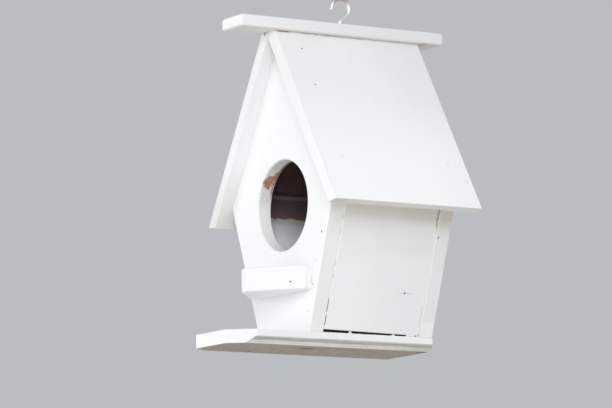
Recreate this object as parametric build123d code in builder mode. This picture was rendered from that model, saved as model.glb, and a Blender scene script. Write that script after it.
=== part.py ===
"""A small hanging birdhouse of nailed and painted boards.

Lengths are millimetres and angles are degrees. X runs across the front, with +X on the house's right in
the photograph, Y runs from the front to the back, and Z is up. The origin lies on the underside of the
base board, on the line of the hook, half-way between the two gable walls.
"""

import os
from math import cos, hypot, isclose, radians, sin, tan

from build123d import *

# Boards and the joints between them
wall_thickness = 9.5
joint_gap = 0.3  # open joint at the ends and the top of a side board
side_lift_front = 1.8  # open joint between a side board and the base, at the front
side_lift_back = 0.8  # the same at the back, because the boards are cut a little out of square
side_inset = 1.0  # how far a side board stands back from the edges of the gable walls
worn_edge = 0.6  # radius that sanding and paint leave on an arris

# Base board
base_thickness = 8.2
base_half_width = 27.6
base_landing = 52.3  # how far it runs out in front of the front wall
base_tail = 0.8  # how far it runs past the back wall
base_clip_across = 11.4  # the clipped front corners
base_clip_along = 15.5
base_bevel = 4.3  # along the lower arris of both long sides
base_corner_round = 1.0
base_round = 0.4  # the upper arrises

# Gable walls
house_depth = 88.0  # over both of them
wall_half_width = 27.9  # where a gable wall stands on the base
wall_taper = 19.2  # lean of its sides, which widen upwards

# Entrance
entrance_diameter = 55.0
entrance_height = 87.0  # of its centre
entrance_round = 1.0

# Perch shelf
perch_height = 33.0  # of its underside
perch_thickness = 14.5
perch_half_width = 30.5
perch_reach = 28.0
perch_end = 4.5  # length of its short square ends
perch_nose = 3.0  # half the width of its blunt front
perch_nose_round = 2.5
perch_corner_round = 1.3
perch_round = 1.0  # the upper and lower arrises

# Roof
roof_pitch = 59.7
roof_thickness = 8.0
roof_overhang = 8.5  # past each gable wall
eave_height = 81.7  # of the outer lower arris
eave_reach = 72.1  # of the same arris from the middle
eave_cut = 8.0  # tilt of the cut at the eave
eave_round = 0.5
rake_round = 1.4  # the outer arrises of the two sloping ends
ridge_joint = 3.0  # height of the plumb faces where the two panels meet
ridge_gap = 0.6  # open joint between them

# Ridge cap
cap_thickness = 7.5
cap_half_width = 11.5
cap_overhang_front = 34.0  # past the front wall
cap_overhang_back = 24.8
cap_left_round = 2.6  # the upper left arris, which is worn most
cap_back_round = 2.9  # the upper arris of the back end
cap_round = 1.5

# Screw hook
hook_wire = 2.6
hook_neck = 2.45  # straight part above the cap
hook_bend = 2.0  # radius of the bend above it, like the next one on the wire's middle line
hook_turn_angle = 54.0  # how far the wire leans back after that bend
hook_lean = 4.2  # length of the leaning part
hook_radius = 6.2  # of the round part
hook_end_angle = 166.0  # where the round part ends, turned from the back over the top
hook_tip = 3.3  # straight tip
hook_tip_round = 0.8
hook_depth = 7.0  # of the shank in the cap
hook_clearance = 0.1  # round the shank in its hole

# Places that follow from the sizes above
half_depth = house_depth / 2
taper = tan(radians(wall_taper))
pitch = tan(radians(roof_pitch))
level_thickness = roof_thickness / sin(radians(roof_pitch))
apex_height = eave_height + eave_reach * pitch
gable_top = apex_height - level_thickness * pitch
cap_seat = gable_top + ridge_joint
cap_top = cap_seat + cap_thickness


def roof_outside(height):
    """How far the outer face of a roof panel stands from the middle at a height."""
    return (apex_height - height) / pitch


def under_roof(reach_at_base, clearance=0.0):
    """Where a line that leans like the walls, and starts level with the base's top, comes to the roof."""
    roof_reach = roof_outside(base_thickness) - level_thickness - clearance / sin(radians(roof_pitch))
    rise = (roof_reach - reach_at_base) / (taper + 1 / pitch)
    return reach_at_base + rise * taper, base_thickness + rise


os.makedirs("parts", exist_ok=True)


def write(part, name):
    """Labels a finished piece and writes it to its own file."""
    part.label = name
    export_step(part, f"parts/{name}.step")


# Base board: a plank with clipped front corners, bevelled under its long sides
landing_front = -half_depth - base_landing
clip_back = landing_front + base_clip_along
nose_half_width = base_half_width - base_clip_across
base_back = half_depth + base_tail
with BuildPart() as base_board:
    with BuildSketch(Plane.XY):
        with BuildLine():
            Polyline(
                (-base_half_width, base_back),
                (-base_half_width, clip_back),
                (-nose_half_width, landing_front),
                (nose_half_width, landing_front),
                (base_half_width, clip_back),
                (base_half_width, base_back),
                close=True,
            )
        make_face()
    extrude(amount=base_thickness)
    long_lower_edges = base_board.edges().group_by(Axis.Z)[0].filter_by(Axis.Y)
    chamfer(long_lower_edges, length=base_bevel)
    fillet(base_board.edges().filter_by(Axis.Z), radius=base_corner_round)
    fillet(base_board.faces().sort_by(Axis.Z)[-1].edges(), radius=base_round)
write(base_board.part, "base_board")

# Outline of both gable walls: they widen to the eaves and then follow the roof to a point
shoulder = under_roof(wall_half_width)
gable_corners = [
    (-wall_half_width, base_thickness),
    (wall_half_width, base_thickness),
    shoulder,
    (0, gable_top),
    (-shoulder[0], shoulder[1]),
]
lean_length = hypot(shoulder[0] - wall_half_width, shoulder[1] - base_thickness)


def leaning_edges(part):
    """The edges of a gable wall that lean out from the base to the eaves."""
    return part.edges().filter_by(lambda edge: isclose(edge.length, lean_length, abs_tol=0.01))


# Front gable wall, with the round entrance
with BuildPart() as front_wall:
    with BuildSketch(Plane.XZ.offset(half_depth)):
        with BuildLine():
            Polyline(*gable_corners, close=True)
        make_face()
        with Locations((0, entrance_height)):
            Circle(entrance_diameter / 2, mode=Mode.SUBTRACT)
    extrude(amount=-wall_thickness)
    fillet(front_wall.edges().filter_by(GeomType.CIRCLE), radius=entrance_round)
    fillet(leaning_edges(front_wall), radius=worn_edge)
write(front_wall.part, "front_wall")

# Back gable wall, plain
with BuildPart() as back_wall:
    with BuildSketch(Plane.XZ.offset(-half_depth)):
        with BuildLine():
            Polyline(*gable_corners, close=True)
        make_face()
    extrude(amount=wall_thickness)
    fillet(leaning_edges(back_wall), radius=worn_edge)
write(back_wall.part, "back_wall")

# Side boards: they lean out between the gable walls, and their top edges are bevelled to the roof. Their
# feet are cut out of square, so the joint under them is widest at the front
outer_at_base = wall_half_width - side_inset
inner_at_base = outer_at_base - wall_thickness / cos(radians(wall_taper))
side_foot = base_thickness + side_lift_back
side_half_length = half_depth - wall_thickness - joint_gap
with BuildPart() as right_side_wall:
    with BuildSketch(Plane.XZ.offset(-side_half_length)):
        with BuildLine():
            Polyline(
                (inner_at_base + side_lift_back * taper, side_foot),
                (outer_at_base + side_lift_back * taper, side_foot),
                under_roof(outer_at_base, joint_gap),
                under_roof(inner_at_base, joint_gap),
                close=True,
            )
        make_face()
    extrude(amount=2 * side_half_length)
    with BuildSketch(Plane.YZ):
        with BuildLine():
            Polyline(
                (-side_half_length, base_thickness),
                (side_half_length, base_thickness),
                (side_half_length, side_foot),
                (-side_half_length, base_thickness + side_lift_front),
                close=True,
            )
        make_face()
    extrude(amount=2 * wall_half_width, mode=Mode.SUBTRACT)
    long_edges = right_side_wall.edges().filter_by(lambda edge: edge.length > side_half_length)
    fillet(long_edges.sort_by(Axis.Z)[:2].sort_by(Axis.X)[-1], radius=worn_edge)
write(right_side_wall.part, "right_side_wall")

with BuildPart() as left_side_wall:
    mirror(right_side_wall.part, about=Plane.YZ)
write(left_side_wall.part, "left_side_wall")

# Perch shelf: a block cut to a point, with a blunt nose and short square ends, nailed flat on the wall
perch_front = -half_depth - perch_reach
with BuildPart() as perch_shelf:
    with BuildSketch(Plane.XY.offset(perch_height)):
        with BuildLine():
            Polyline(
                (-perch_half_width, -half_depth),
                (-perch_half_width, -half_depth - perch_end),
                (-perch_nose, perch_front),
                (perch_nose, perch_front),
                (perch_half_width, -half_depth - perch_end),
                (perch_half_width, -half_depth),
                close=True,
            )
        make_face()
    extrude(amount=perch_thickness)
    upright_edges = perch_shelf.edges().filter_by(Axis.Z).group_by(Axis.Y)
    fillet(upright_edges[0], radius=perch_nose_round)
    fillet(upright_edges[1], radius=perch_corner_round)
    level_faces = perch_shelf.faces().filter_by(Axis.Z)
    free_edges = level_faces.edges().filter_by(lambda edge: edge.center().Y < -half_depth - 0.1)
    fillet(free_edges, radius=perch_round)
write(perch_shelf.part, "perch_shelf")

# Roof panels: boards cut plumb where they meet, level under the cap and nearly level at the eave
eave_slope = tan(radians(eave_cut))
eave_inner_reach = eave_reach - level_thickness / (1 + eave_slope / pitch)
eave_inner_height = eave_height - (eave_reach - eave_inner_reach) * eave_slope
ridge_face = ridge_gap / 2
rake_length = hypot(eave_reach - roof_outside(cap_seat), cap_seat - eave_height)
roof_half_length = half_depth + roof_overhang
with BuildPart() as right_roof_panel:
    with BuildSketch(Plane.XZ.offset(-roof_half_length)):
        with BuildLine():
            Polyline(
                (ridge_face, cap_seat),
                (roof_outside(cap_seat), cap_seat),
                (eave_reach, eave_height),
                (eave_inner_reach, eave_inner_height),
                (ridge_face, gable_top - ridge_face * pitch),
                close=True,
            )
        make_face()
    extrude(amount=2 * roof_half_length)
    rakes = right_roof_panel.edges().filter_by(lambda edge: isclose(edge.length, rake_length, abs_tol=0.01))
    fillet(rakes, radius=rake_round)
    fillet(right_roof_panel.edges().filter_by(Axis.Y).sort_by(Axis.X)[-1], radius=eave_round)
write(right_roof_panel.part, "right_roof_panel")

with BuildPart() as left_roof_panel:
    mirror(right_roof_panel.part, about=Plane.YZ)
write(left_roof_panel.part, "left_roof_panel")

# Ridge cap: a narrow board along the ridge, drilled for the hook
cap_front = -half_depth - cap_overhang_front
cap_back = half_depth + cap_overhang_back
with BuildPart() as ridge_cap:
    with BuildSketch(Plane.YZ.offset(-cap_half_width)):
        with BuildLine():
            Polyline(
                (cap_front, cap_seat),
                (cap_back, cap_seat),
                (cap_back, cap_top),
                (cap_front, cap_top),
                close=True,
            )
        make_face()
    extrude(amount=2 * cap_half_width)
    across = ridge_cap.edges().filter_by(Axis.X)
    fillet(across.sort_by(lambda edge: edge.center().Y + edge.center().Z)[-1], radius=cap_back_round)
    left_edges = ridge_cap.faces().sort_by(Axis.X)[0].edges()
    upper_left = left_edges.filter_by(lambda edge: edge.center().Z > cap_top - cap_back_round / 2)
    fillet(upper_left, radius=cap_left_round)
    still_sharp = ridge_cap.edges().filter_by(
        lambda edge: edge.center().Z < cap_seat + worn_edge
        or edge.center().X > cap_half_width - worn_edge
        or edge.center().Y < cap_front + worn_edge
    )
    fillet(still_sharp, radius=cap_round)
    with BuildSketch(Plane.XY.offset(cap_top)):
        Circle(hook_wire / 2 + hook_clearance)
    extrude(amount=-hook_depth - hook_clearance, mode=Mode.SUBTRACT)
write(ridge_cap.part, "ridge_cap")

# Screw hook: the shank stands in the cap, leans to the back and comes round over the top to the front
shank_foot = cap_top - hook_depth
with BuildPart() as screw_hook:
    with BuildLine(Plane.YZ):
        shank = Line((0, shank_foot), (0, cap_top + hook_neck))
        bend = JernArc(shank @ 1, shank % 1, hook_bend, -hook_turn_angle)
        lean = Line(bend @ 1, bend @ 1 + hook_lean * (bend % 1))
        bow = JernArc(lean @ 1, lean % 1, hook_radius, hook_turn_angle + hook_end_angle)
        Line(bow @ 1, bow @ 1 + hook_tip * (bow % 1))
    with BuildSketch(Plane.XY.offset(shank_foot)):
        Circle(hook_wire / 2)
    sweep()
    tip_face = screw_hook.faces().filter_by(GeomType.PLANE).sort_by(Axis.Z)[-1]
    fillet(tip_face.edges(), radius=hook_tip_round)
write(screw_hook.part, "screw_hook")
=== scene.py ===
# %% [markdown]
# # A painted wooden birdhouse
# Nine pieces of board and one screw hook make this house. Their solids come from the CAD model, already in
# place, so this script only gives them their finish and adds what brush and hammer leave behind: nail ends,
# rings and beads of paint, knots and bare spots. Lengths here are metres, and small ones are written times
# `mm`.

from math import cos, pi, radians, sin, tan

import bmesh
import bpy
from mathutils import Matrix, Vector, noise


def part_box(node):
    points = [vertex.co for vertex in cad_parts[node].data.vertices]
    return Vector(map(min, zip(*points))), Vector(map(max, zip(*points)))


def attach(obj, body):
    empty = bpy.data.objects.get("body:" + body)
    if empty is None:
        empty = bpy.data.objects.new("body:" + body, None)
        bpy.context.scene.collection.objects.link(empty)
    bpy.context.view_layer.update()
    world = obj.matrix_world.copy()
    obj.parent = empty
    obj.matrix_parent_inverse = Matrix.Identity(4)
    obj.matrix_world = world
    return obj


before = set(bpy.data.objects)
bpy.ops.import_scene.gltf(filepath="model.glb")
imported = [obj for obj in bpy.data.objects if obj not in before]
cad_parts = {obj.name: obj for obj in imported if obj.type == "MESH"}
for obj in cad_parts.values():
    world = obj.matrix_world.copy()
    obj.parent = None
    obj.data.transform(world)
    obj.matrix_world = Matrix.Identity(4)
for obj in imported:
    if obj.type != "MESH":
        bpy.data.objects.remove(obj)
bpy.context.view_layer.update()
mm = 0.001
print("boards and hook:", sorted(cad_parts))

# %% [markdown]
# ## The camera
# The house hangs above eye level, so the camera stands low on its right-hand side and looks up. A long lens
# from two and a half metres keeps the boards' edges nearly parallel. The camera is built from its own three
# axes, because that holds the slight roll of a camera in the hand as well as its direction.

# %% Place the camera
aim = Vector((-35.5, -4.07, 95.04)) * mm
camera_turn = radians(57.03)
camera_rise = radians(-8.13)
camera_roll = radians(-1.04)
camera_distance = 2.523
sensor_width = 36.0
focal_length = 242.0

level = cos(camera_rise)
toward_camera = Vector((sin(camera_turn) * level, -cos(camera_turn) * level, sin(camera_rise)))
level_right = (-toward_camera).cross(Vector((0, 0, 1))).normalized()
level_up = level_right.cross(-toward_camera)
camera_right = level_right * cos(camera_roll) + level_up * sin(camera_roll)
camera_up = level_up * cos(camera_roll) - level_right * sin(camera_roll)

lens = bpy.data.cameras.new("long_lens")
lens.sensor_width = sensor_width
lens.lens = focal_length
camera = bpy.data.objects.new("camera", lens)
bpy.context.collection.objects.link(camera)
axes = Matrix((camera_right, camera_up, toward_camera)).transposed().to_4x4()
camera.matrix_world = Matrix.Translation(aim + toward_camera * camera_distance) @ axes
bpy.context.scene.camera = camera
print("camera at", [round(value, 3) for value in camera.location])

# %% [markdown]
# ## Shader maths as Python
# A painted surface is a sum of many faint patterns. Linking each Math node by hand hides what the sum says,
# so `Field` wraps one socket and turns `+`, `-`, `*` and `/` into nodes. `Graph` makes every other node
# with one method: its type, then its settings, then the values or links of its sockets.


# %% Wrap sockets so that they add and multiply
class Field:
    """A value that changes over a surface, and takes part in Python sums."""

    def __init__(self, graph, socket):
        self.graph = graph
        self.socket = socket

    def __add__(self, other):
        return self.graph.math("ADD", self, other)

    def __sub__(self, other):
        return self.graph.math("SUBTRACT", self, other)

    def __rsub__(self, other):
        return self.graph.math("SUBTRACT", other, self)

    def __mul__(self, other):
        return self.graph.math("MULTIPLY", self, other)

    def __truediv__(self, other):
        return self.graph.math("DIVIDE", self, other)

    def __pow__(self, other):
        return self.graph.math("POWER", self, other)

    def __abs__(self):
        return self.graph.math("ABSOLUTE", self)

    __radd__ = __add__
    __rmul__ = __mul__


def find_socket(sockets, name):
    """The socket of this name that the node's present settings use."""
    if isinstance(name, int):
        return sockets[name]
    return next(socket for socket in sockets if socket.name == name and socket.enabled)


class Graph:
    """The nodes of one material, or of the world."""

    def __init__(self, owner):
        owner.use_nodes = True
        self.tree = owner.node_tree
        self.tree.nodes.clear()

    def make(self, kind, settings=None, inputs=None, output=0):
        """Adds a node, sets it up, links its inputs, and gives back one of its outputs."""
        node = self.tree.nodes.new("ShaderNode" + kind)
        for name, value in (settings or {}).items():
            setattr(node, name, value)
        for name, value in (inputs or {}).items():
            socket = find_socket(node.inputs, name)
            if isinstance(value, Field):
                self.tree.links.new(value.socket, socket)
            elif socket.type == "RGBA" and len(value) == 3:
                socket.default_value = (*value, 1.0)
            else:
                socket.default_value = value
        if not node.outputs:
            return node
        return Field(self, find_socket(node.outputs, output))

    def math(self, operation, first, second=0.0):
        return self.make("Math", {"operation": operation}, {0: first, 1: second})

    def larger(self, first, second):
        return self.math("MAXIMUM", first, second)

    def rise(self, value, low, high):
        """Nought below low, one above high, and a smooth step between them."""
        limits = {"Value": value, "From Min": low, "From Max": high}
        return self.make("MapRange", {"interpolation_type": "SMOOTHSTEP"}, limits)

    def fall(self, value, low, high):
        """One below low, nought above high, and a smooth step between them."""
        return 1 - self.rise(value, low, high)

    def between(self, value, low, high, soft):
        """One inside a range, fading to nought over a soft distance outside it."""
        return self.rise(value, low - soft, low) * self.fall(value, high, high + soft)

    def mix(self, factor, first, second):
        """Goes from the first colour to the second as the factor goes from nought to one."""
        colours = {"Factor": factor, "A": first, "B": second}
        return self.make("Mix", {"data_type": "RGBA"}, colours, "Result")

    def millimetres(self):
        """Object coordinates in millimetres."""
        metres = self.make("TexCoord", output="Object")
        return self.make("VectorMath", {"operation": "SCALE"}, {"Vector": metres, "Scale": 1 / mm})

    def axes(self, vector):
        """The X, Y and Z of a vector, as three fields."""
        x = self.make("SeparateXYZ", None, {"Vector": vector}, "X")
        outputs = x.socket.node.outputs
        return x, Field(self, outputs["Y"]), Field(self, outputs["Z"])

    def noise(self, place, size, detail=2.0, roughness=0.5, distortion=0.0):
        """Cloudy noise round a half, whose clouds are about as large as size in place's own unit."""
        look = {"Vector": place, "Scale": 1 / size, "Detail": detail}
        look.update({"Roughness": roughness, "Distortion": distortion})
        return self.make("TexNoise", None, look, "Fac")

    def surface(self, look):
        """Ends a material in one Principled surface."""
        skin = self.make("BsdfPrincipled", None, look)
        self.make("OutputMaterial", None, {"Surface": skin})

    def seen_directly(self):
        """One for what the camera sees, in mirrors and through glass too, and nought for light."""
        seen = self.make("LightPath", output="Is Camera Ray")
        glossy = Field(self, seen.socket.node.outputs["Is Glossy Ray"])
        through = Field(self, seen.socket.node.outputs["Is Transmission Ray"])
        return self.larger(seen, self.larger(glossy, through))


def darker(colour, share):
    """A colour times a share below one."""
    return tuple(value * share for value in colour)


print("shader helpers ready")

# %% [markdown]
# ## Backdrop, floor and lamps
# The house is white, so a pale grey backdrop has to come from the world's colour and not from more light:
# the world shows that grey to the camera, to glossy rays and through glass, and lights the boards by a
# dimmer white. The floor lies well below, as a hanging house has it. It sends light up to the undersides,
# and the camera sees it greyer, so that it stays behind the house. Two lamps stand in for daylight from an
# open side: a small one on the right, low enough to shine in through the entrance, and a wide one at the
# front left, a little below the house, that fills the front wall.

# %% Set the world
backdrop_colour = (0.50, 0.515, 0.535)
sky_colour = (0.97, 0.985, 1.0)
sky_strength = 0.63

world = bpy.data.worlds.new("pale_room")
bpy.context.scene.world = world
sky = Graph(world)
lit = sky.make("Background", None, {"Color": sky_colour, "Strength": sky_strength})
shown = sky.make("Background", None, {"Color": backdrop_colour, "Strength": 1.0})
mixed = sky.make("MixShader", None, {0: sky.seen_directly(), 1: lit, 2: shown})
sky.make("OutputWorld", None, {"Surface": mixed})
bpy.context.scene.view_settings.view_transform = "Standard"
print("sky of strength", sky_strength, "behind a backdrop of", backdrop_colour)

# %% Lay the floor
floor_height = -0.6
floor_half_size = 6.0
floor_colour = (0.80, 0.80, 0.79)
floor_tint = (0.42, 0.43, 0.445)
tint_share = 0.8

floor_mesh = bpy.data.meshes.new("floor")
floor_bm = bmesh.new()
bmesh.ops.create_grid(floor_bm, x_segments=1, y_segments=1, size=floor_half_size)
bmesh.ops.translate(floor_bm, verts=floor_bm.verts, vec=(0, 0, floor_height))
floor_bm.to_mesh(floor_mesh)
floor_bm.free()
floor = bpy.data.objects.new("floor", floor_mesh)
bpy.context.collection.objects.link(floor)
floor_look = bpy.data.materials.new("pale_floor")
ground = Graph(floor_look)
floor_cloud = ground.noise(ground.make("TexCoord", output="Object"), 0.8, 3.0)
floor_tone = ground.mix(floor_cloud, floor_colour, darker(floor_colour, 0.97))
floor_skin = ground.make("BsdfPrincipled", None, {"Base Color": floor_tone, "Roughness": 0.9})
floor_shown = ground.make("Emission", None, {"Color": floor_tint})
seen = ground.seen_directly() * tint_share
floor_surface = ground.make("MixShader", None, {0: seen, 1: floor_skin, 2: floor_shown})
ground.make("OutputMaterial", None, {"Surface": floor_surface})
floor_mesh.materials.append(floor_look)
print("floor at", floor_height, "m")

# %% Hang the lamps
house_middle = Vector((0, 0, 0.11))
lamp_distance = 2.5


def soft_lamp(name, azimuth, elevation, size, power):
    """A square lamp that faces the middle of the house; azimuth 0 is in front and 90 is on the right."""
    turn = radians(azimuth)
    flat = cos(radians(elevation))
    direction = Vector((sin(turn) * flat, -cos(turn) * flat, sin(radians(elevation))))
    lamp = bpy.data.lights.new(name, "AREA")
    lamp.shape = "SQUARE"
    lamp.size = size
    lamp.energy = power
    holder = bpy.data.objects.new(name, lamp)
    bpy.context.collection.objects.link(holder)
    holder.location = house_middle + direction * lamp_distance
    holder.rotation_euler = direction.to_track_quat("Z", "Y").to_euler()
    print(name, "at", [round(value, 2) for value in holder.location])


soft_lamp("right_window", 57, 14, 1.2, 29.5)
soft_lamp("low_window", -25, -10, 2.2, 25.5)

# %% [markdown]
# ## White paint on a board
# Each board was painted by brush, along its grain. Up close that is fine bristle lines, broader strokes of
# thicker and thinner paint, pores of the wood, and a tone that wanders a little. The first three run along
# the board, so their space is turned to the grain and stretched along it. All patterns are worked out in
# millimetres from Object coordinates, which keeps their true scale on every board. A board's own marks are
# covers, each of which lays one more colour where its mask is one.

# %% Mix the paint
paint_white = (0.857, 0.85, 0.86)
paint_thin = (0.79, 0.775, 0.76)
paint_stroke = (0.811, 0.805, 0.815)
# Painted shade: a greyer white for arrises and for the shaded part of the left roof board's underside.
painted_shade_white = (0.77, 0.768, 0.775)
dirt_colour = (0.11, 0.075, 0.06)
dust_and_shade_colour = (0.56, 0.495, 0.41)
grain_up = (0.0, 0.0, 0.0)
grain_back = (radians(90), 0.0, 0.0)
grain_across = (0.0, radians(90), 0.0)


class Paint(Graph):
    """Brushed white paint on one board, to which the board's own marks are added."""

    def __init__(self, name, turn):
        self.material = bpy.data.materials.new(name)
        super().__init__(self.material)
        self.place = self.millimetres()
        self.x, self.y, self.z = self.axes(self.place)
        normal = self.make("NewGeometry", output="Normal")
        self.facing_x, self.facing_y, self.facing_z = self.axes(normal)
        self.turn = turn
        bristles = self.noise(self.along(26.0), 0.55, 2.0, 0.6)
        strokes = self.noise(self.along(9.0), 4.5, 3.0, 0.55)
        clouds = self.noise(self.place, 38.0, 2.0)
        pores = self.rise(self.noise(self.along(34.0), 0.42, 3.0, 0.7, 0.3), 0.66, 0.76)
        self.colour = self.mix(self.rise(strokes, 0.35, 0.75) * 0.4, paint_white, paint_stroke)
        self.colour = self.mix(self.rise(clouds, 0.45, 0.8) * 0.35, self.colour, paint_thin)
        self.colour = self.mix(pores * 0.12, self.colour, paint_thin)
        self.roughness = 0.44 + strokes * 0.16
        self.height = bristles * 0.22 + strokes * 0.5 - pores * 0.2

    def along(self, stretch):
        """Space in which the grain is the Z axis and everything is drawn out along it."""
        look = {"Vector": self.place, "Rotation": self.turn, "Scale": (1.0, 1.0, stretch)}
        return self.make("Mapping", {"vector_type": "TEXTURE"}, look)

    def spot(self, centre, radii, rough_edge=0.35):
        """One inside an uneven round spot, and nought outside it."""
        offset = self.make("VectorMath", {"operation": "SUBTRACT"}, {0: self.place, 1: centre})
        scaled = self.make("VectorMath", {"operation": "DIVIDE"}, {0: offset, 1: radii})
        away = self.make("VectorMath", {"operation": "LENGTH"}, {0: scaled}, "Value")
        uneven = away + (self.noise(self.place, min(radii), 2.0) - 0.5) * (2 * rough_edge)
        return self.fall(uneven, 0.75, 1.05)

    def cover(self, mask, colour, roughness=None, height=0.0):
        """Lays another colour over the paint where the mask is one."""
        self.colour = self.mix(mask, self.colour, colour)
        if roughness is not None:
            self.roughness = self.roughness * (1 - mask) + roughness * mask
        if height:
            self.height = self.height + mask * height

    def paint_arris_shade(self, where=1.0):
        """Paints shade on the rounded arrises between front and side faces, to take the shine of a hard
        line off them.
        """
        rounded = self.between(self.facing_y, -0.88, -0.2, 0.1)
        self.cover(rounded * where * 0.85, painted_shade_white)

    def finish(self, bump=1.0):
        """Closes the material: the height is in tenths of a millimetre."""
        relief = {"Strength": 1.0, "Distance": 0.1 * mm * bump, "Height": self.height}
        look = {"Base Color": self.colour, "Roughness": self.roughness}
        look["Normal"] = self.make("Bump", None, relief)
        self.surface(look)
        return self.material


def dress(node, material):
    """Gives a CAD piece its finish."""
    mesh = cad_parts[node].data
    mesh.materials.clear()
    mesh.materials.append(material)
    print(node, "wears", material.name)


print("white paint is", paint_white)

# %% [markdown]
# ## Bare wood
# The boards are a reddish wood, which shows inside the house and at the foot of the side boards. Its colour
# runs in long bands of growth with fine darker pores, so two noises along the grain are enough.

# %% Bare wood as a colour
wood_dark = (0.12, 0.052, 0.055)
wood_mid = (0.19, 0.088, 0.088)
wood_grey = (0.135, 0.093, 0.103)


def bare_wood(paint, dark, pale):
    """The colour of unpainted board, along the same grain as its paint."""
    bands = paint.noise(paint.along(14.0), 5.0, 3.0, 0.6, 0.6)
    pores = paint.rise(paint.noise(paint.along(30.0), 0.5, 2.0), 0.58, 0.70)
    colour = paint.mix(paint.rise(bands, 0.3, 0.7), dark, pale)
    return paint.mix(pores * 0.6, colour, darker(dark, 0.45))


print("bare wood goes from", wood_dark, "to", wood_mid)

# %% [markdown]
# ## Sizes that the boards share
# Marks sit on edges, rims and joints, so their places are worked out from the boards. Most sizes come from
# the boxes of the CAD pieces. The entrance, the lean of the side boards and the roof's pitch aren't in a
# box, so they are written here, in millimetres.

# %% Measure the boards
entrance_height = 87.0
entrance_radius = 27.5
side_taper = tan(radians(19.2))
side_at_base = 26.9
roof_pitch = radians(59.7)
roof_slope = tan(roof_pitch)

base_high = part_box("base_board")[1]
front_low, front_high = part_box("front_wall")
back_low, back_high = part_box("back_wall")
side_low, side_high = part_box("right_side_wall")
base_top = base_high.z / mm
wall_front = front_low.y / mm
front_inner = front_high.y / mm
back_inner = back_low.y / mm
wall_back = back_high.y / mm
side_end = side_high.y / mm
side_top = side_high.z / mm
side_foot = side_low.z / mm
cap_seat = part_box("right_roof_panel")[1].z / mm
brad_row = wall_front + 6.8
print("walls stand at", round(base_top, 2), "and the cap sits at", round(cap_seat, 2))

# %% [markdown]
# ## Inside of the house
# The inner faces have one thin coat, whiter than the paint outside, as painted light. It grows darker as it
# rises and ends in a ragged line at about the height of the entrance's middle, with bare wood over it.
# Every band of tone is a step on the same height with noise added, so all share the ragged outline. A
# second mask keeps this finish off the strips of the gable walls that stand out past the side boards.

# %% The thin coat inside
coat_top = 86.0
coat_cool = (0.84, 0.875, 0.93)
# Painted light: the coat is made whiter than the paint outside.
coat_painted_light = (0.975, 0.985, 0.995)
coat_upper_tone = (0.62, 0.65, 0.67)
coat_rim = (0.50, 0.50, 0.44)


def coat_inside(paint, inside):
    """Bare wood inside the house, under a thin coat that ends in a ragged line."""
    ragged = paint.z + (paint.noise(paint.place, 5.0, 4.0, 0.65) - 0.5) * 5.0
    coat = paint.mix(paint.noise(paint.place, 7.0, 3.0), coat_cool, coat_painted_light)
    coat = paint.mix(paint.rise(ragged, coat_top - 16.0, coat_top - 3.0) * 0.8, coat, coat_upper_tone)
    coat = paint.mix(paint.rise(ragged, coat_top - 5.5, coat_top - 1.0), coat, coat_rim)
    paint.cover(inside, coat, 0.6)
    bare = paint.rise(ragged, coat_top - 0.5, coat_top + 0.5)
    bare_tone = paint.mix(paint.rise(ragged, coat_top + 1.0, coat_top + 3.0), wood_mid, wood_grey)
    paint.cover(inside * bare, bare_wood(paint, wood_grey, bare_tone), 0.75)


def between_sides(paint):
    """One where a gable wall's inner face is inside the house, and nought on its outer strips."""
    reach = abs(paint.x) - (paint.z - base_top) * side_taper
    return paint.fall(reach, side_at_base - 1.3, side_at_base - 1.0)


print("the coat inside ends at", coat_top, "mm")

# %% [markdown]
# ## Dust and painted shade under the eaves
# Rain never reaches the walls just below the roof, so dust stays there and turns warm; it is made darker to
# stand in for the eave's shade too, as painted shade. It begins within a few millimetres, so a step on the
# height does it, and it gets paler higher up. On the gable walls it lies on the two outer edges.

# %% Dust and painted shade, and where the gable walls' edges are
warm_from = 76.5
warm_to = 82.5


def dust_and_shade_under_eaves(paint, where, low, high, lower_tone, upper_tone):
    """Warm dust and painted shade just below the roof, from nothing at one height to all of it at another.
    """
    amount = where * paint.rise(paint.z, low, high) * (0.85 + paint.noise(paint.place, 4.0, 3.0) * 0.3)
    tone = paint.mix(paint.rise(paint.z, warm_from, warm_to), lower_tone, upper_tone)
    paint.cover(amount, tone, 0.6)


def outer_edge(paint):
    """One on the two outer edges of a gable wall."""
    beyond = paint.rise(abs(paint.x), entrance_radius + 3.0, entrance_radius + 4.0)
    return paint.rise(abs(paint.facing_x), 0.7, 0.8) * beyond


print("dust is warm above", warm_to, "mm")

# %% [markdown]
# ## Front wall
# The front wall carries the most handling. Its face is painted lighter than the other boards, lighter still
# at its foot and lightest below the right-hand slope: painted light, where the perch and the roof would
# shade it. The rim of the entrance has only a dry, scratchy coat, with grey saw lines, an orange patch at
# the upper left and a brown inner arris; the rim's white is painted light, and its outer arris is greyed as
# painted shade. The distance from the entrance's axis tells the rim from the face, and a field that grows
# upwards and to the left places the wear. Wood shows only where a fine speckle is strong, which breaks the
# patch up as rubbing does.

# %% Paint the front wall's face
front = Paint("front_wall_paint", grain_up)
lift = front.z - entrance_height
from_axis = (front.x * front.x + lift * lift) ** 0.5
facing_front = front.fall(front.facing_y, -0.95, -0.85)
# Painted light: the front face, its foot under the perch and the strip below the right-hand slope are
# lighter than the paint.
front.cover(facing_front * 0.55, (0.94, 0.937, 0.945))
front.cover(facing_front * front.fall(front.z, 31.0, 34.0) * 0.7, (0.935, 0.933, 0.94))
painted_light_below_slope = front.rise(front.z + front.x * roof_slope, 140.0, 186.0) * front.rise(front.x, 2.0, 8.0)
front.cover(facing_front * painted_light_below_slope * 0.8, (0.985, 0.983, 0.99))
front.paint_arris_shade(front.rise(from_axis, entrance_radius + 2.0, entrance_radius + 3.0))
print("the entrance is", 2 * entrance_radius, "mm across")

# %% Paint the rim of the entrance
rim_painted_light = (0.985, 0.985, 0.99)
rim_grey = (0.58, 0.56, 0.56)
saw_line_colour = (0.84, 0.86, 0.92)

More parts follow.
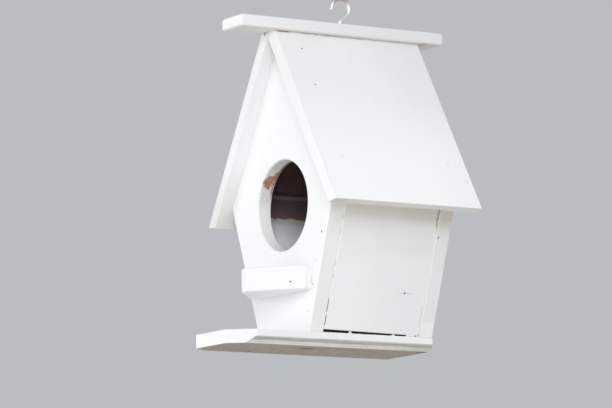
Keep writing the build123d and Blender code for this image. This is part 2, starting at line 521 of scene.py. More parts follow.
rim = front.fall(from_axis, entrance_radius + 0.1, entrance_radius + 0.4)
outer_arris_shade = front.between(from_axis, entrance_radius + 0.2, entrance_radius + 0.6, 0.2)
up_left = lift - front.x * 0.6
upper_left = front.rise(up_left, 15.0, 25.0)
scratches = front.noise(front.place, 0.9, 4.0, 0.75)
# Painted shade greys the rim's outer arris, and painted light makes the rim whiter than the wall's paint.
front.cover(outer_arris_shade * 0.9, (0.73, 0.735, 0.745))
front.cover(rim, rim_painted_light)
front.cover(rim * upper_left * 0.25, (0.80, 0.79, 0.78))
round_the_cut = front.make("CombineXYZ", None, {0: front.y * 4.0, 1: from_axis})
saw_lines = front.rise(front.noise(round_the_cut, 3.0, 3.0, 0.7), 0.5, 0.7)
front.cover(rim * saw_lines * 0.3, saw_line_colour, None, -0.3)
front.cover(rim * upper_left * front.rise(scratches, 0.45, 0.65) * 0.7, rim_grey, 0.7, -0.3)
print("the rim is", round(front_inner - wall_front, 2), "mm deep")

# %% Wear the rim down to the wood
rim_orange = (0.70, 0.27, 0.10)
rim_brown = (0.36, 0.13, 0.06)
worn_place = (-21.2, -39.6, 103.0)
worn_tail = (-18.6, -36.8, 107.6)

flecks = front.noise(front.place, 1.5, 4.0, 0.8, 0.4)
speckle = flecks * 0.4 + scratches * 0.6
rim_wood = front.mix(front.rise(speckle, 0.47, 0.60), rim_brown, rim_orange)
worn = front.spot(worn_place, (4.1, 4.2, 6.3), 0.8)
worn = front.larger(worn, front.spot(worn_tail, (3.4, 1.9, 4.6), 0.9) * 0.8)
front.cover(worn * front.rise(speckle, 0.32, 0.50) * rim * 0.95, rim_wood, 0.75, -0.6)
inner_arris = front.between(front.y, front_inner - 1.5, front_inner, 1.2)
arris_wear = inner_arris * front.rise(up_left, 22.0, 28.0) * front.rise(flecks, 0.34, 0.46)
front.cover(rim * arris_wear * 0.9, rim_brown, 0.8)
print("worn patch at", worn_place)

# %% [markdown]
# ## Marks and edges of the front wall
# A bruise sits in the lower right corner, painted shade darkens the wall under the roof's point, and two
# brads show through the paint as faint spots. The outer edge goes from grey, as painted shade, to warm dust
# and painted shade below the eave, and thick paint lies broken on the arris behind it, made lighter as
# painted light against the shade of the joint. The inside comes last and covers whatever reached it.

# %% Mark the front wall
wall_brads = ((42.3, 66.2, True), (35.8, 49.9, False), (26.2, 20.3, False))
edge_painted_shade = (0.74, 0.74, 0.742)
thick_paint_and_light = (0.975, 0.975, 0.98)

bruise = front.spot((31.7, wall_front, 35.9), (0.7, 1.0, 0.55))
front.cover(bruise * 0.6, dirt_colour, 0.8)
# Painted shade under the roof's point.
front.cover(front.spot((-3.0, wall_front, 176.0), (4.0, 1.0, 8.0)) * 0.3, paint_thin)
front_edge = outer_edge(front)
# Painted shade greys the outer edge below the eave.
front.cover(front_edge * front.between(front.z, 67.0, 73.0, 6.0) * 0.4, edge_painted_shade)
dust_and_shade_under_eaves(front, front_edge * 0.6, 76.5, 80.5, (0.82, 0.79, 0.75), (0.90, 0.86, 0.80))
# Thick paint on the arris behind the edge, made lighter as painted light against the joint's shade.
strip_arris = front.rise(abs(front.facing_x), 0.1, 0.3) * front.rise(front.facing_y, 0.1, 0.35)
broken = front.rise(front.noise(front.place, 5.0, 2.0), 0.40, 0.55)
front.cover(strip_arris * front.rise(front.z, 28.0, 30.0) * (0.4 + broken * 0.6), thick_paint_and_light)
for reach, height, shows in wall_brads:
    if not shows:
        front.cover(front.spot((reach, wall_front, height), (0.55, 1.0, 0.55)) * 0.3, dirt_colour)
inside = front.rise(front.y, front_inner - 0.05, front_inner - 0.02)
coat_inside(front, inside * between_sides(front))
dress("front_wall", front.finish())

# %% [markdown]
# ## Back wall
# The back wall has the front wall's outline, without an entrance. Its inner face has the thin coat too, and
# is greyer outside the side boards, as painted shade. Its edges are greyed as painted shade and carry more
# dust and painted shade than the front wall's, starting lower down, so the same helpers get other heights
# and tones.

# %% Finish the back wall
back = Paint("back_wall_paint", grain_up)
inside = back.fall(back.y, back_inner + 0.02, back_inner + 0.05)
back_edge = outer_edge(back)
# Painted shade: the strips outside the side boards and the outer edges are greyed.
back.cover(inside, (0.66, 0.655, 0.64))
back.cover(back_edge * 0.8, (0.775, 0.77, 0.775))
back.cover(back_edge * back.rise(back.z, 45.0, 66.0) * 0.5, (0.69, 0.69, 0.69))
dust_and_shade_under_eaves(back, back_edge * 0.6, 64.0, 78.0, (0.56, 0.485, 0.37), (0.80, 0.72, 0.60))
coat_inside(back, inside * between_sides(back))
back.cover(back.spot((48.1, 36.0, 66.2), (0.9, 0.75, 0.85)) * 0.7, dirt_colour, 0.8)
dress("back_wall", back.finish())

# %% [markdown]
# ## Side boards
# Their grain runs from front to back. Warm dust and painted shade lie under the eaves, with a band of
# painted shade below; the face is painted duller towards the back, as painted shade, and lightest low down
# at the front, as painted light. Each of these is a wide soft mask on height and depth, and none of them
# reaches the inner face.


# %% Paint dust, light and shade on the side boards
def shade_and_dust_side(paint, outside):
    """Dust, and broad painted light and shade, on a side board's outer face."""
    dust_and_shade_high = paint.rise(paint.z, 57.0, 86.0) * outside * (0.8 + paint.rise(paint.y, -30.0, 30.0) * 0.5)
    paint.cover(dust_and_shade_high * (0.22 + paint.noise(paint.along(4.0), 6.0, 3.0) * 0.4), dust_and_shade_colour, 0.6)
    painted_light_low_front = paint.fall(paint.y, -30.0, 15.0) * paint.fall(paint.z, 25.0, 65.0)
    paint.cover(outside * painted_light_low_front * 0.6, (0.91, 0.905, 0.915))
    # Painted shade, duller towards the back.
    paint.cover(outside * paint.rise(paint.y, -20.0, 34.0) * 0.7, (0.80, 0.797, 0.805))
    dust_and_shade_under_eaves(paint, outside * 0.8, 73.0, 77.5, (0.72, 0.69, 0.64), (0.86, 0.80, 0.72))
    painted_shade_band = paint.between(paint.z, 60.0, 66.0, 9.0) * paint.rise(paint.y, -42.0, 38.0)
    paint.cover(outside * painted_shade_band * 0.55, (0.71, 0.71, 0.712))
    shade_and_dust_to_back = outside * paint.rise(paint.y, -5.0, 30.0) * 0.5
    dust_and_shade_under_eaves(paint, shade_and_dust_to_back, 70.0, 77.0, (0.62, 0.55, 0.45), (0.80, 0.72, 0.61))


print("side boards reach up to", round(side_top, 2), "mm")

# %% [markdown]
# ## Cracked joints and a knot
# Each side board is held by its nails alone, and the paint over its end joints has cracked. On the right
# the front joint shows a dark line in two lengths, above it a strip painted lighter as painted light
# against the shade of the step, and grey smudges, and the back joint shows dashes near the top and a grey
# run near the foot. Each is a mask on how near the board's end is, broken by masks on the height. A dark
# knot between two short lines lies further in.

# %% Mark the right side board
crack_smudges = ((40.5, -33.6, 48.0), (47.1, -33.6, 66.9), (49.9, -33.6, 74.9))
knot_place = (35.6, 19.2, 33.1)
knot_lines = ((16.4, 2.0), (22.6, 3.2))


def knot_marks(paint):
    """A dark knot between two short lines, and a faint streak further to the front."""
    for y, length in knot_lines:
        paint.cover(paint.spot((35.8, y, 33.1), (1.5, length, 0.28)) * 0.35, (0.42, 0.40, 0.38))
    paint.cover(paint.spot(knot_place, (1.2, 0.85, 0.62)) * 0.85, dirt_colour, 0.7, -0.8)
    paint.cover(paint.spot((31.7, -21.4, 22.1), (1.5, 4.0, 0.4)) * 0.12, (0.55, 0.54, 0.52))


def front_joint(paint):
    """Painted light and smudges along the front joint; gives back the mask of its crack."""
    crack = paint.between(paint.z, 12.8, 27.2, 0.6)
    crack = crack * paint.fall(paint.y + paint.z * 0.012, 0.60 - side_end, 0.95 - side_end)
    crack = crack * (1 - paint.between(paint.z, 18.4, 20.0, 0.5) * 0.9)
    painted_light_by_joint = paint.fall(paint.y, 1.2 - side_end, 1.8 - side_end) * paint.rise(paint.z, 28.0, 30.0)
    paint.cover(painted_light_by_joint * 0.8, (0.96, 0.96, 0.965))
    smudges = paint.spot((37.9, -33.5, 40.4), (2.0, 0.8, 1.8))
    for centre in crack_smudges:
        smudges = paint.larger(smudges, paint.spot(centre, (2.0, 0.8, 2.4)))
    paint.cover(smudges * 0.3, (0.40, 0.38, 0.36), 0.6)
    return crack


def back_joint(paint):
    """A grey run low in the back joint; gives back the mask of the dashes above."""
    broken = paint.rise(paint.noise(paint.place, 1.1, 2.0), 0.38, 0.50)
    crack = paint.between(paint.z, 72.5, 82.0, 1.5) * broken
    crack = crack * paint.rise(paint.y, side_end - 1.3, side_end - 0.8) * 0.75
    crack = crack * (0.45 + paint.rise(paint.z, 73.5, 78.5) * 0.55)
    at_end = paint.rise(paint.y, side_end - 1.2, side_end - 0.8)
    paint.cover(paint.between(paint.z, 15.4, 25.3, 2.0) * at_end * 0.35, (0.50, 0.49, 0.47))
    return crack


print("knot at", knot_place)

# %% [markdown]
# ## Side boards, put together
# A side board's foot is bare wood. The inner face has the thin coat, with a paler line near its top and,
# over that, painted shadow of the roof in dark wood's colour. One function makes both boards, and marks
# only the right one.


# %% Finish the side boards
def inside_of_side(paint, inside):
    """The thin coat, with a paler line near its top and painted shadow of the roof over that."""
    coat_inside(paint, inside)
    uneven = paint.z + (paint.noise(paint.along(6.0), 3.0, 3.0) - 0.5) * 1.6
    pale_line = paint.between(uneven, side_top - 3.7, side_top - 2.6, 1.2)
    paint.cover(inside * pale_line * 0.6, (0.34, 0.29, 0.25), 0.75)
    # Painted shadow of the roof on the top of the inner face.
    paint.cover(inside * paint.rise(paint.z, side_top - 2.2, side_top - 1.6) * 0.7, wood_dark)


def side_board(node, side):
    """A side board; side is 1 on the right and -1 on the left."""
    paint = Paint(node + "_paint", grain_back)
    outside = paint.rise(paint.facing_x * side, -0.6, -0.4)
    shade_and_dust_side(paint, outside)
    if side > 0:
        knot_marks(paint)
        front_crack = front_joint(paint)
        back_crack = back_joint(paint)
        paint.cover(paint.larger(front_crack, back_crack) * 0.95, dirt_colour, 0.8)
    foot = paint.fall(paint.facing_z, -0.98, -0.90)
    paint.cover(foot, bare_wood(paint, wood_dark, wood_mid), 0.8)
    inside_of_side(paint, 1 - outside)
    dress(node, paint.finish())


side_board("right_side_wall", 1)
side_board("left_side_wall", -1)

# %% [markdown]
# ## Roof boards
# Their grain runs down the slope. The paint is lightest low down and at the front, as painted light, and
# duller near the ridge at the back, as painted shade. Brown dirt has crept in under the ridge cap here and
# there, so noise breaks it up. What shows of the left board is its underside, greyed as painted shade close
# to the wall, at its lower end and higher up.

# %% Tones and dirt of the roof boards
roof_spots = ((55.7, brad_row, 109.8), (68.5, 14.7, 87.8), (62.0, 48.2, 99.0))
cap_dirt_colour = (0.24, 0.165, 0.13)


def dirt_under_cap(paint, side):
    """Faint spots on the board, and brown dirt in the corner under the ridge cap."""
    broken = paint.rise(paint.noise(paint.place, 5.0, 3.0), 0.40, 0.66) * 0.6
    if side > 0:
        broken = paint.larger(broken, paint.between(paint.y, -49.5, -43.0, 1.5))
        for centre in roof_spots:
            paint.cover(paint.spot(centre, (1.1, 0.9, 1.1)) * 0.2, dirt_colour)
    else:
        by_ridge = paint.spot((-3.0, wall_front - 8.6, cap_seat - 0.9), (0.85, 2.0, 1.5))
        paint.cover(by_ridge * 0.8, dirt_colour)
    in_corner = paint.rise(paint.z, cap_seat - 1.3, cap_seat - 0.5) * broken
    paint.cover(in_corner * 0.7, cap_dirt_colour, 0.8)


def paint_light_and_shade_on_slope(paint, under, front_face):
    """Painted light low down and at the front, painted shade near the ridge at the back."""
    low_part = paint.fall(paint.z, 100.0, 175.0) * (1 - under) * (1 - front_face * 0.3)
    to_front = 1 - paint.rise(paint.y, 20.0, 55.0) * 0.5
    paint.cover(low_part * to_front * 0.9, (0.94, 0.935, 0.945))
    top_back = paint.rise(paint.y, -10.0, 50.0) * paint.rise(paint.z, 110.0, 190.0)
    paint.cover(top_back * (1 - under), (0.78, 0.777, 0.79))
    paint.paint_arris_shade()


def shade_left_underside(paint, shown, front_face):
    """Painted shade at the lower end, by the wall and higher up, on the left board's underside and front
    face.
    """
    low_end = paint.fall(paint.z, 85.0, 125.0)
    paint.cover(low_end * front_face * 0.8, (0.75, 0.75, 0.74))
    paint.cover(low_end * shown * 0.75, (0.72, 0.715, 0.70))
    by_wall = paint.rise(paint.y, wall_front - 12.0, wall_front - 2.0) * paint.fall(paint.z, 78.0, 120.0)
    paint.cover(shown * by_wall * 0.5, (0.62, 0.615, 0.60))
    paint.cover(shown * paint.rise(paint.z, 120.0, 160.0) * 0.5, painted_shade_white)


print("dirt under the cap at", round(cap_seat, 2), "mm")

# %% [markdown]
# ## Roof boards, put together
# Under the overhangs the boards are painted, but over the room they were left bare: that is the underside
# between the gable walls and above the side boards. The lower edge is a saw cut that took the paint badly
# and shows beige, more so at its front end.

# %% Finish the roof boards
lean = pi / 2 - roof_pitch
cut_beige = (0.82, 0.79, 0.745)
cut_brown = (0.68, 0.62, 0.555)


def saw_cut_eave(paint):
    """Thin, uneven paint on the saw cut along the lower edge."""
    saw_cut = paint.fall(paint.facing_z, -0.95, -0.85)
    saw_marks = paint.noise(paint.place, 1.2, 4.0, 0.7)
    paint.cover(saw_cut * (0.3 + saw_marks * 0.4), cut_beige, 0.65, 0.2)
    paint.cover(saw_cut * paint.fall(paint.y, -48.0, -28.0) * 0.6, cut_brown)


def roof_board(node, side):
    """A roof board; side is 1 on the right and -1 on the left."""
    paint = Paint(node + "_paint", (0.0, -side * lean, 0.0))
    under = paint.fall(paint.facing_z, -0.4, -0.2)
    front_face = paint.fall(paint.facing_y, -0.9, -0.7)
    in_house = paint.between(paint.y, wall_front, wall_back, 0.05)
    over_room = in_house * paint.rise(paint.z, side_top - 10.0, side_top - 9.8)
    paint.cover(under * over_room, bare_wood(paint, wood_dark, wood_mid), 0.75)
    dirt_under_cap(paint, side)
    paint_light_and_shade_on_slope(paint, under, front_face)
    if side < 0:
        shade_left_underside(paint, under * (1 - over_room), front_face)
    saw_cut_eave(paint)
    dress(node, paint.finish())


roof_board("right_roof_panel", 1)
roof_board("left_roof_panel", -1)

# %% [markdown]
# ## Ridge cap
# A narrow board along the ridge, with rounded, worn arrises. Its underside has little more than primer,
# which reads as beige, and a brown stain near the back. Its sides are painted duller towards the back, as
# painted shade, and its front end lighter, as painted light.

# %% Finish the ridge cap
cap = Paint("ridge_cap_paint", grain_back)
cap_under = cap.fall(cap.facing_z, -0.8, -0.5)
cap.cover(cap_under * (0.5 + cap.noise(cap.along(10.0), 3.0) * 0.4), (0.72, 0.68, 0.635), 0.6)
stain = cap.spot((6.0, 55.5, 192.2), (7.0, 3.4, 3.0), 0.6)
cap.cover(stain * 0.3, (0.42, 0.27, 0.20), 0.75)
# Painted shade on the sides, more towards the back, and painted light on the front end.
cap_side = cap.rise(abs(cap.facing_x), 0.6, 0.8)
cap.cover(cap_side * cap.rise(cap.y, -120.0, 60.0), (0.74, 0.737, 0.75))
cap.cover(cap.fall(cap.facing_y, -0.95, -0.85) * 0.6, (0.92, 0.918, 0.925))
cap.paint_arris_shade()
dress("ridge_cap", cap.finish())

# %% [markdown]
# ## Perch shelf
# A pointed block with a blunt nose, nailed on under the entrance, with its grain across the house. It is as
# white as the wall, so only a crack at its right end sets it off. Its underside gets the brightest tone, as
# painted light, because less light reaches it; its other faces are greyed as painted shade, and its nose is
# lightened again as painted light.

# %% Finish the perch shelf
perch = Paint("perch_paint", grain_across)
end_crack = perch.between(perch.y, wall_front - 0.30, wall_front, 0.15) * perch.rise(perch.x, 29.5, 30.0)
perch.cover(end_crack * perch.between(perch.z, 37.4, 41.2, 0.8) * 0.7, dirt_colour, 0.8)
# Painted light on the underside, painted shade on the other faces and painted light on the nose.
perch_shown = perch.rise(perch.facing_z, -0.9, -0.7)
perch.cover((1 - perch_shown) * 0.8, (0.98, 0.978, 0.985))
perch.cover(perch_shown * 0.6, (0.82, 0.818, 0.825))
perch_nose = perch.between(perch.facing_x, -0.9, 0.3, 0.1) * perch.fall(perch.facing_y, -0.6, -0.4)
perch.cover(perch_nose * 0.5, (0.93, 0.928, 0.935))
dress("perch_shelf", perch.finish())

# %% [markdown]
# ## Base board
# The long plank under the house. Its underside has thin primer in streaks and patches, with four knots. The
# bevels under its long sides are half covered, with one bare band and brown streaks. Two noises along the
# grain make the streaks, and one that is wider than long makes the patches. Its front end is painted
# lighter, as painted light, and the clipped front corners are toned down, as painted shade, because they
# turn straight to the light.

# %% Prime the underside and the bevels
primer_colour = (0.475, 0.405, 0.325)
bevel_white = (0.765, 0.765, 0.735)
bevel_grey = (0.62, 0.61, 0.57)
bevel_brown = (0.42, 0.385, 0.33)

base = Paint("base_paint", grain_back)
base_under = base.fall(base.facing_z, -0.9, -0.8)
base_bevel = base.between(base.facing_z, -0.80, -0.45, 0.1)
streaks = base.noise(base.along(26.0), 1.1, 4.0, 0.65)
bands = base.noise(base.along(8.0), 7.0, 3.0, 0.6, 0.5)
bare_band = base.between(base.z, 2.3, 3.5, 0.5)
base.cover(base_bevel, bevel_white, 0.6)
base.cover(base_bevel * base.rise(base.y, -30.0, 50.0) * 0.5, bevel_grey)
base.cover(base_bevel * (bare_band * 0.7 + base.rise(streaks, 0.45, 0.65) * 0.5), bevel_brown, 0.6)
primer = base.mix(base.rise(streaks, 0.35, 0.65), primer_colour, darker(primer_colour, 0.80))
primer = base.mix(base.rise(bands, 0.40, 0.65) * 0.4, primer, darker(primer_colour, 0.62))
base.cover(base_under, primer, 0.65, 0.1)
print("primer is", primer_colour)

# %% Patches, knots and corners of the base board
patch_space = base.make("CombineXYZ", None, {0: base.x / 3.0, 1: base.y})
patches = base.noise(patch_space, 2.8, 3.0, 0.7)
base.cover(base_under * base.rise(patches, 0.52, 0.68) * 0.6, (0.24, 0.195, 0.15))
base.cover(base_under * base.fall(patches, 0.30, 0.48) * 0.5, (0.64, 0.58, 0.50))
base.cover(base_bevel * base.rise(patches, 0.54, 0.66) * 0.25, (0.45, 0.42, 0.37))
for centre, radii in (
    ((-16.7, -59.6, 0.0), (2.2, 1.6, 2.0)),
    ((-9.3, -41.2, 0.0), (2.6, 1.3, 2.0)),
    ((9.2, -34.5, 0.0), (4.0, 4.6, 2.0)),
    ((20.7, 40.2, 0.0), (2.8, 4.4, 2.0)),
):
    base.cover(base_under * base.spot(centre, radii, 0.6) * 0.85, (0.16, 0.12, 0.09), 0.7, -0.5)
# Painted light on the front end, painted shade on the clipped corners.
base.cover(base.fall(base.facing_y, -0.9, -0.75) * 0.6, (0.94, 0.937, 0.945))
clipped_corner = base.between(base.facing_y, -0.82, -0.25, 0.06) * (1 - base_under)
base.cover(clipped_corner * 0.7, (0.80, 0.798, 0.805))
dress("base_board", base.finish())

# %% [markdown]
# ## The hook
# Nickel plate on bent wire, a little dulled. It is clouded in patches, carries fine scratches, and has
# tarnished to a reddish brown near the top of the bow. A metal's colour is its Base Color, so the tarnish
# goes there, and the clouds change its roughness too.

# %% Finish the hook
nickel_bright = (0.93, 0.915, 0.885)
nickel_dull = (0.74, 0.67, 0.60)
tarnish_colour = (0.62, 0.44, 0.37)
hook_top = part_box("screw_hook")[1].z / mm

nickel_plate = bpy.data.materials.new("nickel_plate")
nickel = Graph(nickel_plate)
wire_place = nickel.millimetres()
wire_height = nickel.axes(wire_place)[2]
cloudy = nickel.noise(wire_place, 2.2, 4.0, 0.6)
fine_scratches = nickel.noise(wire_place, 0.25, 3.0, 0.7)
tarnish = nickel.rise(wire_height + (cloudy - 0.5) * 6.0, hook_top - 6.5, hook_top - 1.0)
nickel_colour = nickel.mix(nickel.rise(cloudy, 0.45, 0.75) * 0.4, nickel_bright, nickel_dull)
nickel_colour = nickel.mix(tarnish * 0.9, nickel_colour, tarnish_colour)
relief = {"Strength": 0.35, "Distance": 0.05 * mm, "Height": fine_scratches}
nickel_look = {"Base Color": nickel_colour, "Metallic": 1.0, "Roughness": 0.44 + cloudy * 0.14}
nickel_look["Normal"] = nickel.make("Bump", None, relief)
nickel.surface(nickel_look)
dress("screw_hook", nickel_plate)

# %% [markdown]
# ## Small shapes on the boards
# Brads and beads of paint are tiny, so each is made round the Z axis, at the origin, and a copy is set on
# its board by a matrix. One mesh holds all of a kind, which keeps the scene light.


# %% Helpers for small shapes
def stand_on(place, direction):
    """The matrix that carries a shape from the origin to a place, with its Z along a direction."""
    turn = Vector(direction).to_track_quat("Z", "Y").to_matrix().to_4x4()
    return Matrix.Translation(Vector(place) * mm) @ turn


def join_copy(target, shape, matrix):
    """Adds a copy of one small bmesh, moved by the matrix, to another."""
    part = bpy.data.meshes.new("part")
    shape.to_mesh(part)
    part.transform(matrix)
    target.from_mesh(part)
    bpy.data.meshes.remove(part)


def make_piece(bm, name, material):
    """Turns a finished bmesh into a piece that belongs to the house."""
    bmesh.ops.recalc_face_normals(bm, faces=bm.faces)
    mesh = bpy.data.meshes.new(name)
    bm.to_mesh(mesh)
    bm.free()
    mesh.shade_smooth()
    mesh.materials.append(material)
    piece = bpy.data.objects.new(name, mesh)
    bpy.context.collection.objects.link(piece)
    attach(piece, "root")
    print(name, "has", len(mesh.polygons), "faces")


print("shape helpers ready")

# %% [markdown]
# ## Brads
# The boards are nailed with thin headless brads. A brad shows as a dark dot a millimetre wide, in a low
# ring of paint that the brush left round it. The pin is a cone with equal ends and a bevelled rim, and the
# ring is spun from a flattened circle.

# %% Shape a brad and its ring
brad_radius = 0.5 * mm
brad_length = 1.0 * mm
brad_proud = 0.10 * mm
ring_radius = 0.82 * mm
ring_width = 0.36 * mm
ring_height = 0.10 * mm

brad = bmesh.new()
pin_ends = {"radius1": brad_radius, "radius2": brad_radius, "depth": brad_length}
bmesh.ops.create_cone(brad, cap_ends=True, segments=16, **pin_ends)
rim_edges = [edge for edge in brad.edges if all(vert.co.z > 0 for vert in edge.verts)]
bevel = {"offset": 0.12 * mm, "affect": "EDGES", "segments": 2, "profile": 0.5, "material": -1}
bmesh.ops.bevel(brad, geom=rim_edges, **bevel)
bmesh.ops.translate(brad, verts=brad.verts, vec=(0, 0, brad_proud - brad_length / 2))

ring = bmesh.new()
bmesh.ops.create_circle(ring, segments=8, radius=ring_width / 2)
bmesh.ops.rotate(ring, verts=ring.verts, cent=(0, 0, 0), matrix=Matrix.Rotation(pi / 2, 3, "X"))
bmesh.ops.scale(ring, verts=ring.verts, vec=(1, 1, 2 * ring_height / ring_width))
bmesh.ops.translate(ring, verts=ring.verts, vec=(ring_radius, 0, 0))
turned = {"axis": (0, 0, 1), "cent": (0, 0, 0), "angle": 2 * pi, "steps": 20, "use_merge": True}
bmesh.ops.spin(ring, geom=ring.verts[:] + ring.edges[:], **turned)
print("a brad has", len(brad.faces), "faces and its ring", len(ring.faces))

# %% [markdown]
# ## Where the brads sit
# Three brads over each gable wall hold a roof board, three near each side of a gable wall hold a side
# board, and two in each slanted face hold the perch. Their places are written for the right half and
# mirrored for the left. Most lie under the paint, so only their rings show. Four, on the right and in
# front, show dark ends.

# %% Drive the brads
roof_apex = 205.08
roof_normal = (sin(roof_pitch), 0.0, cos(roof_pitch))
roof_brads = ((181.1, True), (156.9, True), (109.8, False))
back_row = wall_back - 4.8
perch_brads = (((23.6, -54.4, 37.8), True), ((22.9, -55.0, 44.5), False))
perch_normal = (23.5, -27.5, 0.0)

pins = bmesh.new()
rings = bmesh.new()


def drive(place, direction, shows=False):
    """Sets one brad in its ring; under the paint only the ring is left to see."""
    matrix = stand_on(place, direction)
    join_copy(rings, ring, matrix)
    if shows:
        join_copy(pins, brad, matrix)


def drive_pair(place, direction, shows=False):
    """Sets a brad on the right and its mirror image, under the paint, on the left."""
    drive(place, direction, shows)
    drive((-place[0], place[1], place[2]), (-direction[0], direction[1], direction[2]))


for height, shows in roof_brads:
    reach = (roof_apex - height) / roof_slope
    drive_pair((reach, brad_row, height), roof_normal, shows)
    drive_pair((reach, back_row, height), roof_normal)
for reach, height, shows in wall_brads:
    drive_pair((reach, wall_front, height), (0, -1, 0), shows)
    drive_pair((reach, wall_back, height), (0, 1, 0))
for place, shows in perch_brads:
    drive_pair(place, perch_normal, shows)
brad.free()
ring.free()
print("brads and rings have", len(pins.faces) + len(rings.faces), "faces")

# %% [markdown]
# ## Iron, and paint on small shapes
# A brad's end is dark iron with rust in small clouds. Rings and beads wear the boards' paint with half its
# relief, because deeper brush marks would break up such small shapes. Near the back wall they are greyer,
# as painted shade.

# %% Finish the small shapes
iron_dark = (0.05, 0.045, 0.045)
iron_rust = (0.14, 0.07, 0.045)
trim_painted_shade = (0.68, 0.67, 0.65)

dark_iron = bpy.data.materials.new("dark_iron")
iron = Graph(dark_iron)
rust = iron.noise(iron.millimetres(), 0.3, 3.0)
iron_colour = iron.mix(iron.rise(rust, 0.4, 0.7), iron_dark, iron_rust)
iron.surface({"Base Color": iron_colour, "Metallic": 0.6, "Roughness": 0.55})
trim = Paint("trim_paint", grain_up)
trim.cover(trim.between(trim.y, wall_back - 12.0, wall_back - 2.0, 1.0) * 0.5, trim_painted_shade)
paint_on_trim = trim.finish(0.5)
make_piece(pins, "brad_ends", dark_iron)
make_piece(rings, "brad_rings", paint_on_trim)

# %% [markdown]
# ## Beads of paint in the joints
# Where two boards meet, the brush pushed a bead of paint into the corner. It swells and thins, stops where
# the joint has opened, and softens a hard CAD corner. A bead starts as a small circle, which is extruded
# step by step along the joint while noise changes its radius, and it is small again at its far end.

# %% Shape one bead
bead_sides = 8
bead_step = 2.2
bead_end = 0.2
bead_wave = 0.37
seed_apart = 3.1


def lay_bead(bm, start, end, radius, seed, waver=0.5):
    """A bead of paint from start to end, in millimetres; half of it sinks into the two boards."""
    start = Vector(start)
    end = Vector(end)
    steps = max(4, round((end - start).length / bead_step))
    shape = bmesh.new()
    bmesh.ops.create_circle(shape, cap_ends=True, segments=bead_sides, radius=radius * bead_end * mm)
    edges = shape.edges[:]
    width = radius * bead_end
    for number in range(1, steps + 1):
        share = number / steps
        taper = min(1.0, 12 * share * (1 - share))
        uneven = 0.8 + waver * noise.noise(Vector((number * bead_wave, seed * seed_apart, 0.0)))
        wanted = radius * max(bead_end, taper * uneven)
        grown = bmesh.ops.extrude_edge_only(shape, edges=edges)["geom"]
        verts = [item for item in grown if isinstance(item, bmesh.types.BMVert)]
        edges = [item for item in grown if isinstance(item, bmesh.types.BMEdge)]
        bmesh.ops.scale(shape, verts=verts, vec=(wanted / width, wanted / width, 1))
        bmesh.ops.translate(shape, verts=verts, vec=(0, 0, (end - start).length / steps * mm))
        width = wanted
    bmesh.ops.contextual_create(shape, geom=edges)
    join_copy(bm, shape, stand_on(start, end - start))
    shape.free()


print("a bead has", bead_sides, "sides")

# %% [markdown]
# ## Beads in the upright joints
# The joints beside the side boards lean out as the boards do, so a bead's reach at each end comes from its
# height. At the front the bead begins above the crack. At the back it comes in three lengths, whose gaps
# read as dashes of the crack, and a thinner one lies deeper up to the eave.

# %% Lay the upright beads
joint_bead = 0.45
deep_bead = 0.30
half_joint = 0.15
eave_in_joint = 99.0
back_beads = ((8.6, 72.8, 4), (75.0, 76.4, 7), (78.0, 79.2, 10))
beads = bmesh.new()


def side_reach(height):
    """How far a side board's outer face stands from the middle at a height."""
    return side_at_base + (height - base_top) * side_taper


def bead_up(y, low, high, proud, radius, seed):
    """A bead in an upright joint on both sides of the house, from one height to another."""
    for side in (1, -1):
        first = (side * (side_reach(low) + proud), y, low)
        second = (side * (side_reach(high) + proud), y, high)
        lay_bead(beads, first, second, radius, seed + side, waver=0.2)


bead_up(-side_end - half_joint, 29.0, eave_in_joint, -0.1, joint_bead, 1)
for low, high, seed in back_beads:
    bead_up(side_end + half_joint, low, high, 0.05, joint_bead, seed)
bead_up(side_end + half_joint, 72.0, eave_in_joint, -0.45, deep_bead, 13)
print("upright beads have", len(beads.faces), "faces")

# %% [markdown]
# ## Beads along the base and the perch
# Where the gable walls stand on the base, paint fills the corner in front, behind and at both ends. Round
# the perch a bead runs along its top and down its left end. The right end is cracked open and gets none.

# %% Lay the other beads
corner_bead = 0.55
foot_bead = 0.40
back_foot_bead = 0.35
perch_thickness = 14

base_reach = base_high.x / mm
for side in (1, -1):
    for first, second in ((wall_front - 0.2, 0.2 - side_end), (side_end - 0.2, wall_back + 0.4)):
        reach = side * (base_reach - 0.15)
        ends = (reach, first, base_top - 0.05), (reach, second, base_top - 0.05)
        lay_bead(beads, *ends, foot_bead, 40 + side, waver=0.1)

perch_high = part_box("perch_shelf")[1]
perch_top = perch_high.z / mm
perch_end = perch_high.x / mm
perch_corner = (-perch_end, wall_front, perch_top)
perch_foot = (-perch_end, wall_front, perch_top - perch_thickness)
lay_bead(beads, perch_corner, (perch_end - 1.5, wall_front, perch_top), corner_bead, 21)
lay_bead(beads, perch_foot, perch_corner, corner_bead, 22)
foot = base_reach - 0.7
lay_bead(beads, (-foot, wall_front, base_top), (foot, wall_front, base_top), corner_bead, 23)
lay_bead(beads, (-foot, wall_back, base_top), (foot, wall_back, base_top), back_foot_bead, 24)
print("all beads have", len(beads.faces), "faces")

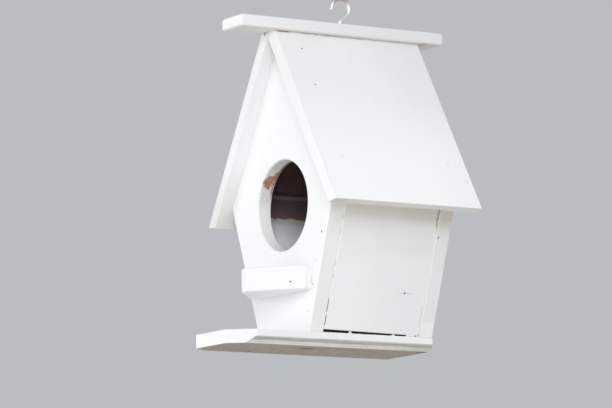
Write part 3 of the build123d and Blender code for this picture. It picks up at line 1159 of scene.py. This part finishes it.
# %% [markdown]
# ## The joint under the side boards
# The side boards hang a little above the base, so a dark joint shows at their feet, widest in front. Paint
# has run into it: a thin smear all along, two narrow bridges, and towards the back it is closed, but for
# one short opening. It is a long box, subdivided into slices, each of which takes its height from its place
# along the joint. Smoothing rounds the steps.

# %% Close part of the joint
gap_closed_from = 25.9
gap_opens_again = 32.0
gap_closes_again = 32.9
gap_closed_share = 1.75
bridges = (-14.4, 16.6)
bridge_width = 0.9
gap_in_front = 1.8
gap_behind = side_foot - base_top
gap_slices = 170


def filled_share(y, grown, side):
    """The share of the joint's height that paint fills; above one it laps onto the side board."""
    share = 0.14 + 0.08 * grown + 0.08 * noise.noise(Vector((y * 0.45, side * 5.0, 1.0)))
    if gap_closed_from < y < gap_opens_again or y > gap_closes_again:
        share = gap_closed_share
    for bridge in bridges:
        share = max(share, 1.3 - (abs(y - bridge) / bridge_width) ** 4)
    return share


def fill_gap(bm, side):
    """Paint that has run into the open joint at a side board's foot, growing towards the back."""
    strip = bmesh.new()
    bmesh.ops.create_cube(strip, size=1.0)
    along = [edge for edge in strip.edges if abs(edge.verts[0].co.y - edge.verts[1].co.y) > 0.5]
    bmesh.ops.subdivide_edges(strip, edges=along, cuts=gap_slices, use_grid_fill=True)
    for vert in strip.verts:
        y = vert.co.y * 2 * (side_end + 0.3)
        grown = max(0.0, y + side_end) / (2 * side_end)
        depth = gap_in_front + (gap_behind - gap_in_front) * grown
        share = filled_share(y, grown, side)
        top = base_top - 0.2 + (vert.co.z + 0.5) * (0.2 + depth * share)
        bulge = (0.5 + (top - base_top) * 0.2) * min(1.0, max(0.0, share - 0.75))
        reach = side_at_base - 1.4 + vert.co.x * 2.2 + (vert.co.x + 0.5) * bulge
        vert.co = Vector((side * reach, y, top)) * mm
    across = {"use_axis_x": True, "use_axis_y": False, "use_axis_z": True}
    bmesh.ops.smooth_vert(strip, verts=strip.verts, factor=0.3, **across)
    join_copy(bm, strip, Matrix.Identity(4))
    strip.free()


fill_gap(beads, 1)
fill_gap(beads, -1)
make_piece(beads, "paint_beads", paint_on_trim)
